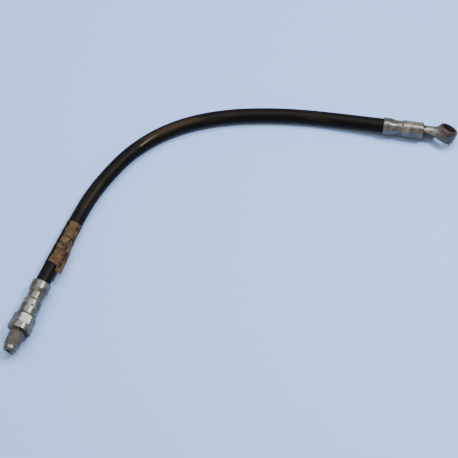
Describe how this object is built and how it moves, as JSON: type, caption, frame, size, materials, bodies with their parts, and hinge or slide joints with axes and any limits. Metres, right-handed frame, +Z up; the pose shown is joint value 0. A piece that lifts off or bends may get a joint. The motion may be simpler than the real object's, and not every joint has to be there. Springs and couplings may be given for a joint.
{
  "type": "hydraulic hose assembly",
  "caption": "Flexible braided rubber brake hose that joins a banjo fitting to a threaded male fitting, held by crimped ferrules, with a paper label.",
  "frame": {"origin": "on the surface the hose lies on, under the middle of the footprint of the two end fittings", "axes": "+Z up, +X from the male end towards the banjo end across the arch, +Y towards the crown of the arch"},
  "size_m": [0.3168, 0.1952, 0.017],
  "materials": {
    "zinc_plate": "dull zinc plate, handled and lightly stained",
    "stem_steel": "turned steel",
    "cover_rubber": "satin black rubber with dust and scuffs",
    "liner_rubber": "matt black rubber",
    "braid": "braided textile cord",
    "kraft_paper": "aged brown paper"
  },
  "bodies": {
    "banjo_end": {"banjo_body": "zinc_plate", "banjo_stem": "stem_steel", "banjo_ferrule": "zinc_plate", "hose_inner_tube_1": "liner_rubber", "hose_inner_braid_1": "braid", "hose_cushion_1": "liner_rubber", "hose_outer_braid_1": "braid", "hose_cover_1": "cover_rubber"},
    "hose_crown": {"hose_inner_tube_2": "liner_rubber", "hose_inner_braid_2": "braid", "hose_cushion_2": "liner_rubber", "hose_outer_braid_2": "braid", "hose_cover_2": "cover_rubber"},
    "hose_shoulder": {"hose_inner_tube_3": "liner_rubber", "hose_inner_braid_3": "braid", "hose_cushion_3": "liner_rubber", "hose_outer_braid_3": "braid", "hose_cover_3": "cover_rubber"},
    "male_end": {"hose_inner_tube_4": "liner_rubber", "hose_inner_braid_4": "braid", "hose_cushion_4": "liner_rubber", "hose_outer_braid_4": "braid", "hose_cover_4": "cover_rubber", "paper_label": "kraft_paper", "male_body": "zinc_plate", "male_stem": "stem_steel", "male_ferrule": "zinc_plate"}
  },
  "joints": [
    {"name": "bend_banjo_side", "type": "hinge", "parent": "banjo_end", "child": "hose_crown", "pos_m": [0.06223, 0.09417, 0.0054], "axis": [0, 0, 1], "range_deg": [-25, 25], "stiffness_Nm_per_rad": 0.75},
    {"name": "bend_middle", "type": "hinge", "parent": "hose_crown", "child": "hose_shoulder", "pos_m": [-0.02327, 0.09327, 0.0053], "axis": [0, 0, 1], "range_deg": [-25, 25], "stiffness_Nm_per_rad": 0.75},
    {"name": "bend_male_side", "type": "hinge", "parent": "hose_shoulder", "child": "male_end", "pos_m": [-0.09317, 0.04677, 0.0053], "axis": [0, 0, 1], "range_deg": [-25, 25], "stiffness_Nm_per_rad": 0.75}
  ]
}
